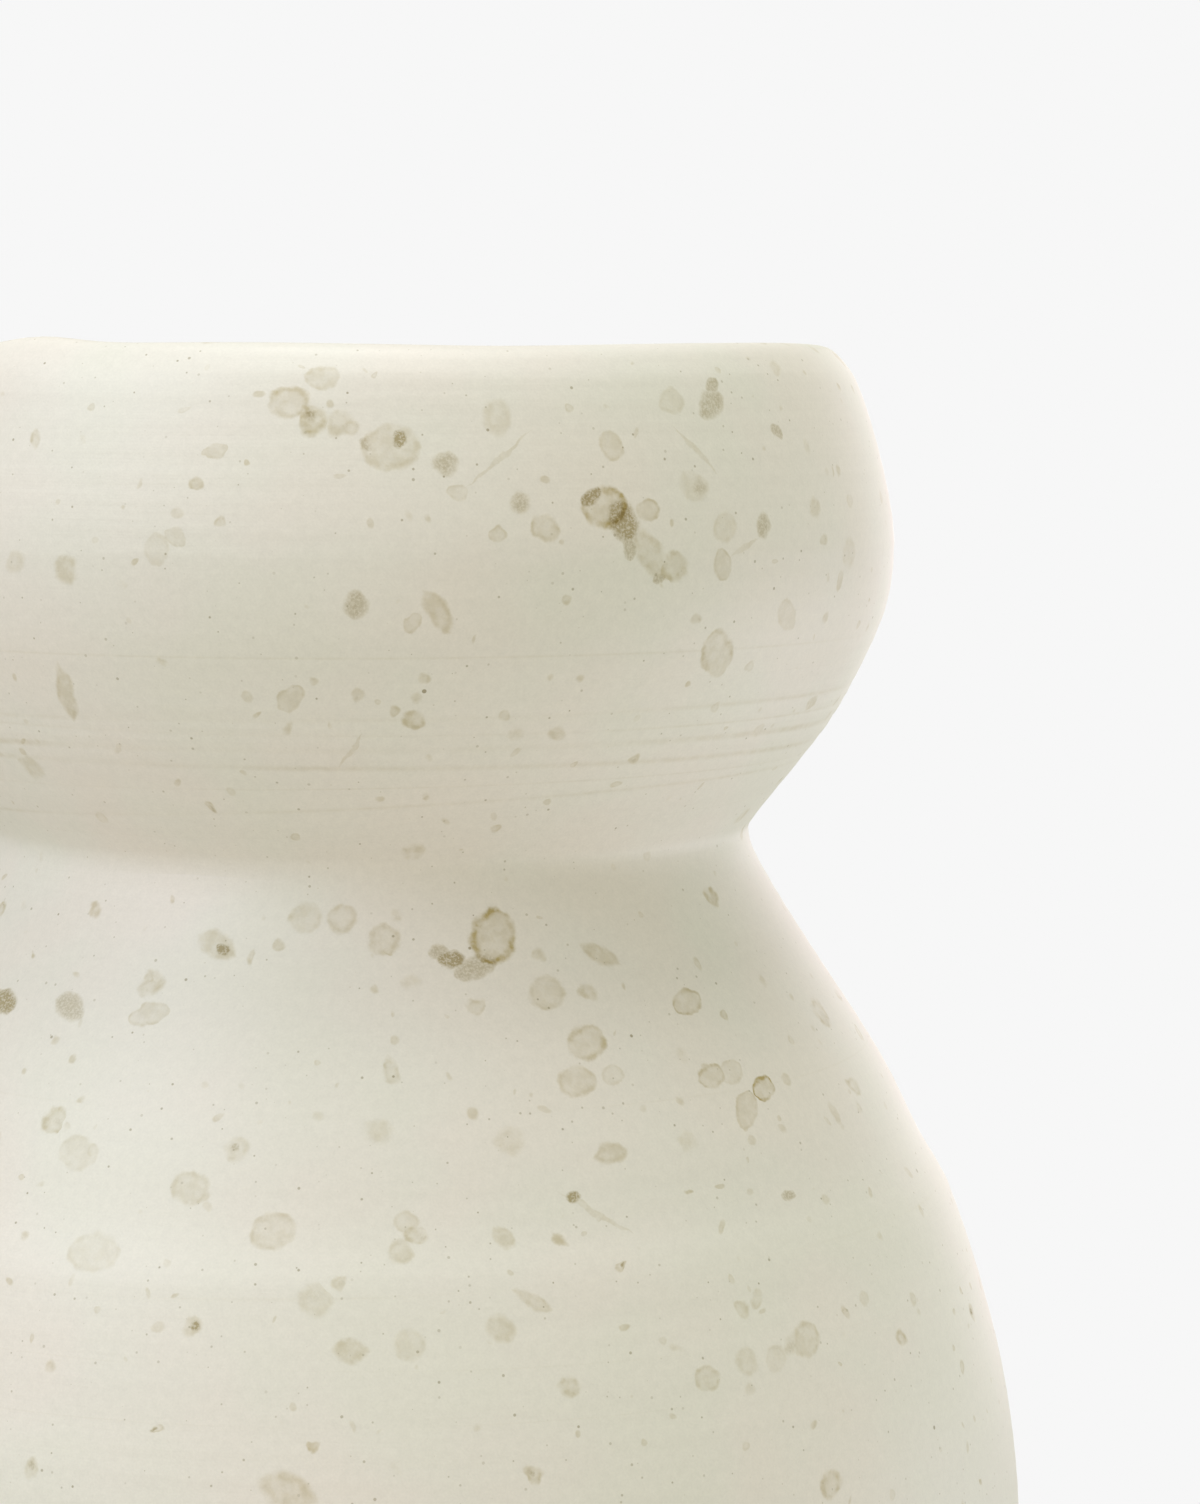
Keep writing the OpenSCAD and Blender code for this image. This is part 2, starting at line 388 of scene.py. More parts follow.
def wandering(height, bearing, size, seed=0):
    """A smooth value from -1 to 1 that wanders over the wall, in patches of about a size in metres."""
    girth = 60 * MM / size
    return noise.noise(Vector((
        math.sin(bearing) * girth + seed, -math.cos(bearing) * girth, height / size)))


def outside_relief(run, height, bearing):
    shape = bpy.context.scene.vase_shape
    level = height / MM
    swells = sum(rise * bell(level - place, reach) for place, rise, reach in SWELLS)
    grooves = 0
    for place, depth, reach, climb, peak in GROOVES:
        centre = place + climb * (math.cos(bearing - math.radians(peak)) - math.cos(math.radians(peak)))
        if abs(level - centre) < 3 * reach:
            grooves -= depth * bell(level - centre, reach)
    strength = 0.7 + 1.4 * wandering(height, bearing, 30 * MM, seed=7)
    rings = strength * shape.ring_depth * math.sin(FULL_TURN * run / shape.ring_pitch + bearing)
    patches = shape.unevenness * (
        0.7 * wandering(height, bearing, 45 * MM) + 0.3 * wandering(height, bearing, 16 * MM, seed=3))
    roll = shape.glaze_roll * bell(run / MM - 1.3, 1.1)
    roll *= 1 + 0.9 * wandering(0, bearing, 30 * MM, seed=11)
    return (swells + grooves) * MM + rings + patches + roll


def lip_shift(height, bearing):
    """How far the lip rises or falls at a bearing: five shallow waves and one high spot."""
    shape = bpy.context.scene.vase_shape
    degrees = math.degrees(bearing)
    waves = 0.5 + math.cos(5 * (bearing + math.radians(17)))
    high_spot = 5.5 * bell(degrees + 43, 8)
    top = LIP_HEIGHT - 14 * MM
    return shape.lip_wave * (waves + high_spot) * smooth_step(top, LIP_HEIGHT, height)


def inside_relief(run, height, bearing):
    shape = bpy.context.scene.vase_shape
    finger_pitch = 3.5 * shape.ring_pitch
    rings = 0.22 * MM * math.sin(FULL_TURN * run / finger_pitch + bearing)
    return rings + shape.unevenness * wandering(height, bearing, 30 * MM, seed=5)


def foot_relief(run, height, bearing):
    """Fine lines that the turning tool leaves on the foot and the underside, and a spiral."""
    shape = bpy.context.scene.vase_shape
    tool_lines = 0.03 * MM * math.sin(FULL_TURN * run / (1.1 * MM) + bearing)
    spiral = 0.10 * MM * math.sin(FULL_TURN * run / (7 * MM) + bearing)
    spiral *= 1 - smooth_step(0, 40 * MM, run)
    return tool_lines + spiral + 0.5 * shape.unevenness * wandering(height, bearing, 20 * MM, seed=2)


# Node trees


class Graph:
    """Short ways to add and join the nodes of one tree."""

    def __init__(self, tree):
        self.tree = tree

    def node(self, kind, **settings):
        made = self.tree.nodes.new(kind)
        for key, value in settings.items():
            setattr(made, key, value)
        return made

    def put(self, socket, value):
        if isinstance(value, bpy.types.NodeSocket):
            self.tree.links.new(value, socket)
        else:
            socket.default_value = value

    def math(self, operation, *values, clamp=False):
        made = self.node("ShaderNodeMath", operation=operation, use_clamp=clamp)
        for socket, value in zip(made.inputs, values):
            self.put(socket, value)
        return made.outputs[0]

    def vector(self, operation, *values):
        made = self.node("ShaderNodeVectorMath", operation=operation)
        for socket, value in zip(made.inputs, values):
            self.put(socket, value)
        return made.outputs["Value" if operation in ("DOT_PRODUCT", "LENGTH", "DISTANCE") else "Vector"]

    def ramp(self, value, low, high, to_low=0.0, to_high=1.0, smooth=True):
        """value from low to high, as to_low to to_high."""
        made = self.node("ShaderNodeMapRange", interpolation_type="SMOOTHSTEP" if smooth else "LINEAR")
        for name, setting in (("Value", value), ("From Min", low), ("From Max", high),
                              ("To Min", to_low), ("To Max", to_high)):
            self.put(made.inputs[name], setting)
        return made.outputs[0]

    def tint(self, share, base, colour, blend="MULTIPLY"):
        made = self.node("ShaderNodeMix", data_type="RGBA", blend_type=blend)
        self.put(made.inputs[0], share)
        self.put(made.inputs[6], base)
        self.put(made.inputs[7], colour)
        return made.outputs[2]

    def noise(self, vector, scale, detail=2.0, roughness=0.5):
        made = self.node("ShaderNodeTexNoise")
        self.put(made.inputs["Vector"], vector)
        made.inputs["Scale"].default_value = scale
        made.inputs["Detail"].default_value = detail
        made.inputs["Roughness"].default_value = roughness
        return made

    def parts(self, vector):
        made = self.node("ShaderNodeSeparateXYZ")
        self.put(made.inputs[0], vector)
        return made.outputs

    def joined(self, x, y, z):
        made = self.node("ShaderNodeCombineXYZ")
        for socket, value in zip(made.inputs, (x, y, z)):
            self.put(socket, value)
        return made.outputs[0]

    def use(self, group, **values):
        made = self.node("ShaderNodeGroup", node_tree=group)
        for key, value in values.items():
            self.put(made.inputs[key.replace("_", " ")], value)
        return made.outputs


SOCKETS = {"value": "NodeSocketFloat", "vector": "NodeSocketVector", "colour": "NodeSocketColor"}


def new_group(name, inputs, outputs):
    """An empty node group with named sockets, as its graph, its inputs and its outputs."""
    tree = bpy.data.node_groups.new(name, "ShaderNodeTree")
    for label, kind in inputs.items():
        tree.interface.new_socket(name=label, in_out="INPUT", socket_type=SOCKETS[kind])
    for label, kind in outputs.items():
        tree.interface.new_socket(name=label, in_out="OUTPUT", socket_type=SOCKETS[kind])
    graph = Graph(tree)
    entry = graph.node("NodeGroupInput").outputs
    leave = graph.node("NodeGroupOutput").inputs
    return graph, entry, leave


def grain_group(name):
    """Fine eggshell grain: a tone near 1 and a height, both from two sizes of noise."""
    graph, entry, leave = new_group(
        name, {"Position": "vector", "Tone Depth": "value"},
        {"Tone": "value", "Height": "value"})
    fine = graph.noise(entry["Position"], 3200, detail=1.5).outputs[0]
    coarse = graph.noise(entry["Position"], 900, detail=2).outputs[0]
    both = graph.math("ADD", graph.math("MULTIPLY", fine, 0.55), graph.math("MULTIPLY", coarse, 0.45))
    centred = graph.math("SUBTRACT", both, 0.5)
    tone = graph.math("MULTIPLY_ADD", centred, entry["Tone Depth"], 1.0)
    graph.put(leave["Tone"], tone)
    graph.put(leave["Height"], centred)
    return graph.tree


def speck_group(name):
    """Round specks of iron, strewn evenly, most of them much smaller than the largest."""
    graph, entry, leave = new_group(
        name, {"Position": "vector", "Per Metre": "value", "Radius": "value"},
        {"Specks": "value"})
    cells = graph.node("ShaderNodeTexVoronoi", feature="F1")
    graph.put(cells.inputs["Vector"], entry["Position"])
    graph.put(cells.inputs["Scale"], entry["Per Metre"])
    apart = graph.math("DIVIDE", cells.outputs["Distance"], entry["Per Metre"])
    chance = graph.parts(cells.outputs["Color"])
    size = graph.math("MULTIPLY", graph.math("POWER", chance[0], 2.0), entry["Radius"])
    inside = graph.ramp(graph.math("SUBTRACT", apart, size), -0.05 * MM, 0.04 * MM, 1.0, 0.0)
    strength = graph.ramp(chance[1], 0.0, 1.0, 0.25, 1.0, smooth=False)
    graph.put(leave["Specks"], graph.math("MULTIPLY", inside, strength))
    return graph.tree


def spatter_group(name):
    """Marks that drops of ash leave in a glaze: discs, ovals and drops with darker rims and cores.

    Each mark is a ball round a random seed, pressed out of round in the plane of the surface.
    """
    graph, entry, leave = new_group(
        name,
        {"Position": "vector", "Normal": "vector", "Per Metre": "value", "Radius": "value",
         "Stretch": "value", "Shift": "vector"},
        {"Fill": "value", "Rim": "value", "Core": "value"})
    position = entry["Position"]
    wobble = graph.noise(graph.vector("ADD", position, entry["Shift"]), 520, detail=2).outputs["Color"]
    bent = graph.vector("MULTIPLY_ADD", graph.vector("SUBTRACT", wobble, (0.5, 0.5, 0.5)),
                        graph.joined(*[graph.math("MULTIPLY", entry["Radius"], 0.55)] * 3), position)
    sought = graph.vector("ADD", bent, entry["Shift"])
    cells = graph.node("ShaderNodeTexVoronoi", feature="F1")
    graph.put(cells.inputs["Vector"], sought)
    graph.put(cells.inputs["Scale"], entry["Per Metre"])
    offset = graph.vector("SUBTRACT", sought, cells.outputs["Position"])
    chance = graph.parts(cells.outputs["Color"])

    across = graph.vector("NORMALIZE", graph.vector("CROSS_PRODUCT", (0.0, 0.0, 1.0), position))
    upwards = graph.vector("CROSS_PRODUCT", entry["Normal"], across)
    flat = graph.joined(graph.vector("DOT_PRODUCT", offset, across),
                        graph.vector("DOT_PRODUCT", offset, upwards),
                        graph.vector("DOT_PRODUCT", offset, entry["Normal"]))
    turn = graph.node("ShaderNodeVectorRotate", rotation_type="Z_AXIS")
    graph.put(turn.inputs["Vector"], flat)
    graph.put(turn.inputs["Angle"], graph.math("MULTIPLY", chance[0], FULL_TURN))
    local = graph.parts(turn.outputs[0])

    other = graph.math("FRACT", graph.math("MULTIPLY", chance[0], 17.3))
    size = graph.math("MULTIPLY", entry["Radius"],
                      graph.math("MULTIPLY_ADD", graph.math("POWER", chance[2], 2.0), 0.58, 0.42))
    length_share = graph.math("DIVIDE", local[1], size)
    squeeze = graph.math("MULTIPLY_ADD", graph.math("POWER", chance[1], 3.0), entry["Stretch"], 1.0)
    taper = graph.math("MULTIPLY_ADD", length_share, graph.math("MULTIPLY", other, 0.45), 1.0)
    width_share = graph.math("DIVIDE", graph.math("MULTIPLY", graph.math("MULTIPLY", local[0], squeeze),
                                                  taper), size)
    depth_share = graph.math("DIVIDE", local[2], size)
    apart = graph.vector("LENGTH", graph.joined(width_share, length_share, depth_share))
    strength = graph.ramp(graph.math("FRACT", graph.math("MULTIPLY", chance[1], 11.7)),
                          0.0, 1.0, 0.35, 1.0, smooth=False)
    fill = graph.math("MULTIPLY", graph.ramp(apart, 0.62, 1.1, 1.0, 0.0), strength)
    band = graph.math("MULTIPLY", graph.ramp(apart, 0.35, 0.8), graph.ramp(apart, 0.8, 1.1, 1.0, 0.0))
    breaks = graph.ramp(graph.parts(wobble)[0], 0.36, 0.6, 0.2, 1.2)
    rimmed = graph.math("MULTIPLY", graph.ramp(other, 0.3, 0.7, 0.25, 1.0), breaks)
    graph.put(leave["Fill"], fill)
    graph.put(leave["Rim"], graph.math("MULTIPLY", band, rimmed))
    darker = graph.ramp(graph.math("FRACT", graph.math("MULTIPLY", chance[2], 23.9)), 0.62, 1.0)
    off_centre = graph.vector("LENGTH", graph.joined(
        width_share, graph.math("SUBTRACT", length_share, 0.3), depth_share))
    core = graph.ramp(off_centre, 0.2, 0.62, 1.0, 0.0)
    graph.put(leave["Core"], graph.math("MULTIPLY", core, darker))
    return graph.tree


def streak_group(name):
    """Level streaks where the glaze lies thicker or thinner round the wall, from -1 to 1."""
    graph, entry, leave = new_group(
        name, {"Position": "vector"}, {"Fine": "value", "Broad": "value"})
    fine_place = graph.vector("MULTIPLY", entry["Position"], (14.0, 14.0, 620.0))
    fine = graph.noise(fine_place, 1.0, detail=3, roughness=0.6).outputs[0]
    broad_place = graph.vector("MULTIPLY", entry["Position"], (10.0, 10.0, 110.0))
    broad = graph.noise(broad_place, 1.0, detail=2).outputs[0]
    for label, value in (("Fine", fine), ("Broad", broad)):
        graph.put(leave[label], graph.math("MULTIPLY_ADD", value, 2.0, -1.0))
    return graph.tree


# Marks on the front of the vase, by kind. Each is its bearing from the front in degrees, its height,
# length and width in millimetres, and the tilt of its length from level in degrees.
MARKS = {
    "faint disc": (
        (34, 273, 4.6, 3.6, 25), (38.5, 257, 4.6, 4, 35), (48.5, 245.5, 5.2, 3.4, -50),
        (8.5, 262, 3, 2.2, 0), (-21.5, 255, 4.2, 3.4, 90), (-19.5, 256.5, 3.4, 2.2, -25),
        (27, 188, 3.6, 2.8, 20), (43, 186.5, 5, 3.2, 20), (3, 172.5, 3.4, 3, 0),
        (37, 153, 4, 3.4, 45), (-26.5, 168, 7.6, 5.6, 0), (-31, 179, 6.2, 4.8, -20),
        (3, 158.5, 4.2, 4, 0),
    ),
    "disc": (
        (2, 267.5, 7.6, 6, 0), (-5, 276, 4.4, 3.4, 0), (12.5, 257, 2.2, 2, 0),
        (25.5, 267.5, 4, 3.2, -65), (4, 246, 2.8, 2.2, 50), (38, 252.5, 4, 3, 90),
        (-9, 207.5, 4.4, 4.2, 0), (-4, 207.5, 4.2, 4, 0), (1.5, 205, 4.6, 4.4, 0),
        (21.5, 198, 5.6, 4.8, 35), (22.5, 187.5, 5.4, 4.4, 20), (43, 182, 6.4, 3.6, 50),
        (11, 160, 4, 4, 0), (2.5, 169, 3.6, 3.6, 0), (-9.5, 171.5, 6.2, 5, 25),
        (-18, 176, 5.4, 4.6, -20), (41, 154.5, 5.2, 4.6, 30), (-27.5, 195.5, 5.8, 3.4, 20),
        (-8.5, 236.5, 4.6, 3, 55), (-16, 267, 3.4, 2, 10),
    ),
    "ring": (
        (-8.5, 273, 5.2, 4.6, 0), (17.5, 257.5, 4, 3.6, 0), (29, 259.5, 3.6, 3, 0),
        (39, 241, 7.4, 5.2, -50), (25, 192, 6, 5, 30), (40, 186.5, 5.2, 3.6, 15),
        (29.5, 152, 3.8, 3.4, 0), (41, 195.5, 5.6, 3.6, 15),
    ),
    "dark ring": ((24, 260, 6.4, 5.6, 10), (16, 205, 8, 6.2, 70), (47, 184, 5, 3.2, 20)),
    "soft core": (
        (-0.5, 268, 2.2, 1.8, 90), (39.5, 272.5, 5.4, 3.8, 30), (40.5, 275, 3, 2, 40),
        (7.5, 265.5, 3.4, 3.2, 15), (15, 260.5, 3.2, 3, 65), (-1.5, 248.5, 3.8, 3.2, 90),
        (44, 257, 3.6, 3, 65), (49, 269, 2.8, 2, -40), (8.5, 203.5, 2.6, 2.2, 25),
        (13, 201.5, 6.6, 3.4, 20), (-39, 195.5, 5.8, 4, -20), (44.5, 171.5, 2.6, 1.8, -10),
        (30, 251, 1.8, 1.4, 0), (26.5, 255, 3.4, 2, -80),
    ),
    "dark core": (
        (26, 258.2, 5.6, 4.6, -60), (22.6, 261.3, 3.4, 2.2, 40), (3, 268.5, 2.2, 1.8, 90),
        (10, 202.5, 3.6, 2.8, 5), (-19.5, 203.5, 2.2, 1.6, -10), (19.5, 174.5, 2.2, 1.8, 15),
        (-50.5, 195, 5.6, 3.8, -15),
    ),
    "leaf": (
        (29, 254, 8.4, 4, -55), (6.5, 247.5, 7, 3, -55), (-34.5, 236.5, 9, 3, 85),
        (-20.5, 204, 6.4, 3.8, -25), (30.5, 202, 6.4, 2.8, -35), (24.5, 179, 5.4, 3, 10),
        (12, 170.5, 3.8, 2.6, -45), (14, 163, 5.8, 2.4, -30), (-2, 158, 4.8, 3.4, 0),
        (-7, 141.5, 8, 5, -20),
    ),
    "streak": (
        (13, 266, 12, 0.7, 40), (41, 254.5, 5.6, 1, 20), (-2.5, 229.5, 7, 0.7, 60),
        (36, 267, 9, 0.8, -45), (21.5, 172.5, 12, 1, -35),
    ),
}

# How strongly each kind of mark stains the glaze all over, at its rim and at its core, and whether
# its ends are pointed
MARK_KINDS = {
    "faint disc": (0.14, 0.08, 0.0, False),
    "disc": (0.20, 0.13, 0.0, False),
    "ring": (0.20, 0.28, 0.0, False),
    "dark ring": (0.26, 0.60, 0.0, False),
    "soft core": (0.17, 0.0, 0.46, False),
    "dark core": (0.20, 0.0, 1.0, False),
    "leaf": (0.26, 0.10, 0.0, True),
    "streak": (0.20, 0.0, 0.0, True),
}


def wall_at(outline, level):
    """Radius of the outermost wall at a height, and how fast it grows with height."""
    crossings = []
    for (r0, z0), (r1, z1) in zip(outline, outline[1:]):
        if min(z0, z1) <= level < max(z0, z1):
            slope = (r1 - r0) / (z1 - z0)
            crossings.append((r0 + slope * (level - z0), slope))
    return max(crossings)


def oval(graph, position, centre, along, length, width):
    """0 in the middle of an oval and 1 at its edge, from the distances to its two foci."""
    reach = math.sqrt(length ** 2 - width ** 2) / 2
    both = graph.math("ADD", graph.vector("DISTANCE", position, centre + along * reach),
                      graph.vector("DISTANCE", position, centre - along * reach))
    spread = length - 2 * reach
    return graph.math("MULTIPLY_ADD", both, 1 / spread, -2 * reach / spread)


def lens(graph, position, centre, aside, length, width):
    """0 in the middle of a pointed lens and 1 at its edge, where two wide circles overlap."""
    radius = (length ** 2 + width ** 2) / (4 * width)
    reach = radius - width / 2
    further = graph.math("MAXIMUM", graph.vector("DISTANCE", position, centre + aside * reach),
                         graph.vector("DISTANCE", position, centre - aside * reach))
    return graph.math("MULTIPLY_ADD", further, 2 / width, -2 * reach / width)


def groove_lines(graph, position, outline):
    """1 along the fine grooves, where the glaze pools, fading in and out round the wall."""
    nearest = 1.0
    for place, depth, reach, climb, peak in GROOVES:
        radius, _ = wall_at(outline, place * MM)
        lean = climb * MM / radius
        turn = math.radians(peak)
        upright = (-lean * math.sin(turn), lean * math.cos(turn), 1.0)
        middle = (place - climb * math.cos(turn)) * MM
        above = graph.math("SUBTRACT", graph.vector("DOT_PRODUCT", position, upright), middle)
        away = graph.math("MULTIPLY_ADD", graph.math("ABSOLUTE", above), 1 / (reach * MM),
                          1 - depth / DEEPEST_GROOVE)
        nearest = graph.math("MINIMUM", nearest, away)
    stretched = graph.vector("MULTIPLY", position, (22.0, 22.0, 90.0))
    fades = graph.ramp(graph.noise(stretched, 1.0, detail=2).outputs[0], 0.38, 0.62, 0.15, 1.0)
    return graph.math("MULTIPLY", graph.ramp(nearest, 0.1, 0.9, 1.0, 0.0), fades)


def marks_group(outline):
    """The placed marks, as how strongly the glaze is stained and how dark its cores are."""
    graph, entry, leave = new_group(
        "Placed marks", {"Position": "vector"}, {"Stain": "value", "Iron": "value"})
    wobble = graph.noise(entry["Position"], 480, detail=3).outputs["Color"]
    bent = graph.vector("MULTIPLY_ADD", graph.vector("SUBTRACT", wobble, (0.5, 0.5, 0.5)),
                        (1.5 * MM, 1.5 * MM, 1.5 * MM), entry["Position"])
    breaks = graph.ramp(graph.noise(entry["Position"], 300, detail=2).outputs[0], 0.36, 0.62, 0.15, 1.3)
    stain = graph.math("MULTIPLY", groove_lines(graph, entry["Position"], outline), 0.20)
    iron = 0.0
    for kind, places in MARKS.items():
        fill_strength, rim_strength, core_strength, pointed = MARK_KINDS[kind]
        nearest = 2.0
        for bearing, height, length, width, tilt in places:
            turn, lean = math.radians(bearing), math.radians(tilt)
            radius, slope = wall_at(outline, height * MM)
            centre = Vector((radius * math.sin(turn), -radius * math.cos(turn), height * MM))
            level = Vector((math.cos(turn), math.sin(turn), 0))
            outward = Vector((math.sin(turn), -math.cos(turn), -slope)).normalized()
            along = level * math.cos(lean) + outward.cross(level) * math.sin(lean)
            if pointed:
                apart = lens(graph, bent, centre, outward.cross(along), length * MM, width * MM)
            else:
                apart = oval(graph, bent, centre, along, length * MM, width * MM)
            nearest = graph.math("MINIMUM", nearest, apart)
        fill = graph.ramp(nearest, 0.62, 1.12, fill_strength, 0.0)
        if rim_strength:
            band = graph.math("MULTIPLY", graph.ramp(nearest, 0.30, 0.80, 0.0, rim_strength),
                              graph.ramp(nearest, 0.80, 1.14, 1.0, 0.0))
            fill = graph.math("MULTIPLY_ADD", band, breaks, fill)
        stain = graph.math("MAXIMUM", stain, fill)
        if core_strength:
            core = graph.ramp(nearest, 0.15, 1.2, core_strength, 0.0)
            iron = graph.math("MAXIMUM", iron, core)
    graph.put(leave["Stain"], stain)
    graph.put(leave["Iron"], iron)
    return graph.tree


def new_material(name):
    material = bpy.data.materials.new(name)
    material.use_nodes = True
    graph = Graph(material.node_tree)
    shader = material.node_tree.nodes["Principled BSDF"]
    return material, graph, shader


def bumped(graph, shader, height, distance):
    bump = graph.node("ShaderNodeBump")
    bump.inputs["Strength"].default_value = 1.0
    bump.inputs["Distance"].default_value = distance
    graph.put(bump.inputs["Height"], height)
    graph.put(shader.inputs["Normal"], bump.outputs[0])


def shared(name, make):
    """The node group of this name, made on first use."""
    return bpy.data.node_groups.get(name) or make(name)


def glaze_material(name, colour, spatter_strength, roughness, outline=None):
    """A matt or satin glaze with streaks, grain, specks and ash spatter, and placed marks if asked."""
    colours = bpy.context.scene.vase_colours
    material, graph, shader = new_material(name)
    coordinates = graph.node("ShaderNodeTexCoord").outputs
    position, normal = coordinates["Object"], coordinates["Normal"]

    grain = graph.use(shared("Fine grain", grain_group), Position=position, Tone_Depth=0.20)
    streaks = graph.use(shared("Throwing streaks", streak_group), Position=position)
    drift = graph.noise(position, 34, detail=2.5, roughness=0.55).outputs[0]
    rosy = graph.ramp(drift, 0.42, 0.66)
    mossy = graph.ramp(drift, 0.58, 0.34)
    base = graph.tint(rosy, tuple(colour) + (1,), (1.014, 0.993, 0.988, 1))
    base = graph.tint(mossy, base, (0.984, 1.0, 0.980, 1))
    tone = graph.math("MULTIPLY_ADD", streaks["Fine"], 0.016, grain["Tone"])
    tone = graph.math("MULTIPLY_ADD", streaks["Broad"], 0.03, tone)
    base = graph.vector("MULTIPLY", base, graph.joined(tone, tone, tone))

    spatter = shared("Glaze spatter", spatter_group)
    large = graph.use(spatter, Position=position, Normal=normal, Per_Metre=112.0,
                      Radius=2.5 * MM, Stretch=1.6, Shift=(0.31, 0.17, 0.05))
    small = graph.use(spatter, Position=position, Normal=normal, Per_Metre=200.0,
                      Radius=1.15 * MM, Stretch=1.8, Shift=(0.07, 0.43, 0.29))
    stain = graph.math("MULTIPLY_ADD", large["Fill"], 0.28, graph.math("MULTIPLY", large["Rim"], 0.26))
    faint = graph.math("MULTIPLY_ADD", small["Fill"], 0.30, graph.math("MULTIPLY", small["Rim"], 0.12))
    stain = graph.math("MULTIPLY", graph.math("MAXIMUM", stain, faint), spatter_strength)
    iron = graph.math("MULTIPLY", graph.math("MULTIPLY", large["Core"], 0.95), spatter_strength)
    if outline is not None:
        placed = graph.use(marks_group(outline), Position=position)
        stain = graph.math("MAXIMUM", stain, placed["Stain"])
        iron = graph.math("MAXIMUM", iron, placed["Iron"])
    blotch = graph.noise(position, 620, detail=3, roughness=0.6).outputs[0]
    stain = graph.math("MULTIPLY", stain, graph.ramp(blotch, 0.32, 0.66, 0.6, 1.35))
    mottle = graph.noise(position, 3300, detail=2, roughness=0.6).outputs[0]
    iron = graph.math("MULTIPLY", iron, graph.ramp(mottle, 0.34, 0.62, 0.4, 1.25))
    base = graph.tint(stain, base, tuple(colours.stain) + (1,))
    base = graph.tint(iron, base, tuple(colours.iron) + (1,))

    specks_of = shared("Iron specks", speck_group)
    dots = graph.use(specks_of, Position=position, Per_Metre=760.0, Radius=0.21 * MM)["Specks"]
    rare = graph.use(specks_of, Position=position, Per_Metre=150.0, Radius=0.32 * MM)["Specks"]
    specks = graph.math("MAXIMUM", graph.math("MULTIPLY", dots, 0.75), rare)
    base = graph.tint(specks, base, tuple(c * 0.75 for c in colours.iron) + (1,))
    graph.put(shader.inputs["Base Color"], base)

    rough = graph.math("MULTIPLY_ADD", grain["Height"], 0.18, roughness)
    rough = graph.math("MULTIPLY_ADD", streaks["Broad"], 0.04, rough)
    graph.put(shader.inputs["Roughness"], graph.math("MULTIPLY_ADD", iron, 0.10, rough))
    height = graph.math("MULTIPLY_ADD", streaks["Fine"], 1.1, grain["Height"])
    bumped(graph, shader, graph.math("MULTIPLY_ADD", specks, -0.6, height), 0.02 * MM)
    return material


def clay_material(name, colour, grog=1.0):
    """Bare fired stoneware: gritty, matt, with grog, iron specks and a toasted drift of colour."""
    colours = bpy.context.scene.vase_colours
    material, graph, shader = new_material(name)
    position = graph.node("ShaderNodeTexCoord").outputs["Object"]
    grain = graph.use(shared("Fine grain", grain_group), Position=position, Tone_Depth=0.45)
    streaks = graph.use(shared("Throwing streaks", streak_group), Position=position)
    toast = graph.noise(position, 60, detail=3).outputs[0]
    base = graph.tint(graph.ramp(toast, 0.4, 0.7), tuple(colour) + (1,), (0.86, 0.74, 0.62, 1))
    tone = graph.math("MULTIPLY_ADD", streaks["Fine"], 0.06, grain["Tone"])
    base = graph.vector("MULTIPLY", base, graph.joined(tone, tone, tone))
    specks_of = shared("Iron specks", speck_group)
    grit = graph.use(specks_of, Position=position, Per_Metre=650.0, Radius=0.4 * MM)["Specks"]
    pale = graph.math("MULTIPLY", grit, 0.5 * grog)
    base = graph.tint(pale, base, (0.78, 0.70, 0.58, 1), blend="MIX")
    iron = graph.use(specks_of, Position=position, Per_Metre=330.0, Radius=0.35 * MM)["Specks"]
    base = graph.tint(iron, base, tuple(c * 0.5 for c in colours.iron) + (1,))
    graph.put(shader.inputs["Base Color"], base)
    graph.put(shader.inputs["Roughness"], graph.math("MULTIPLY_ADD", grain["Height"], 0.15, 0.86))
    height = graph.math("MULTIPLY_ADD", grit, 0.9 * grog, grain["Height"])
    bumped(graph, shader, graph.math("MULTIPLY_ADD", iron, -0.4, height), 0.09 * MM)
    return material


# Operators


class VASE_OT_outer_glaze(bpy.types.Operator):
    """Turn the matt ivory coat with its throwing marks and spatter"""
    bl_idname = "vase.outer_glaze"
    bl_label = "Outer glaze"

    def execute(self, context):
        shape = context.scene.vase_shape

        def step_at(height):
            on_fine_grooves = 215 * MM < height < 244 * MM
            return shape.fine_row_step if on_fine_grooves else shape.row_step

        coat = turned_piece(
            "ivory_glaze_coat", "outer_glaze", lambda part: max(height for _, height in part),
            step_at, outside_relief, lip_shift)
        outline = half_section("outer_glaze")
        dress(coat, glaze_material(
            "ivory_glaze", context.scene.vase_colours.ivory, spatter_strength=1.0, roughness=0.5,
            outline=outline))
        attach(coat, "root")
        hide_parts("outer_glaze")
        return {"FINISHED"}


class VASE_OT_liner_glaze(bpy.types.Operator):
    """Turn the smooth liner coat with the soft finger rings of the inside"""
    bl_idname = "vase.liner_glaze"
    bl_label = "Liner glaze"

    def execute(self, context):
        shape = context.scene.vase_shape
        liner = turned_piece(
            "liner_glaze_coat", "liner_glaze", lambda part: min(height for _, height in part),
            lambda height: 2 * shape.row_step, inside_relief)
        dress(liner, glaze_material(
            "liner_glaze", context.scene.vase_colours.liner, spatter_strength=0.35, roughness=0.3))
        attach(liner, "root")
        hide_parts("liner_glaze")
        return {"FINISHED"}


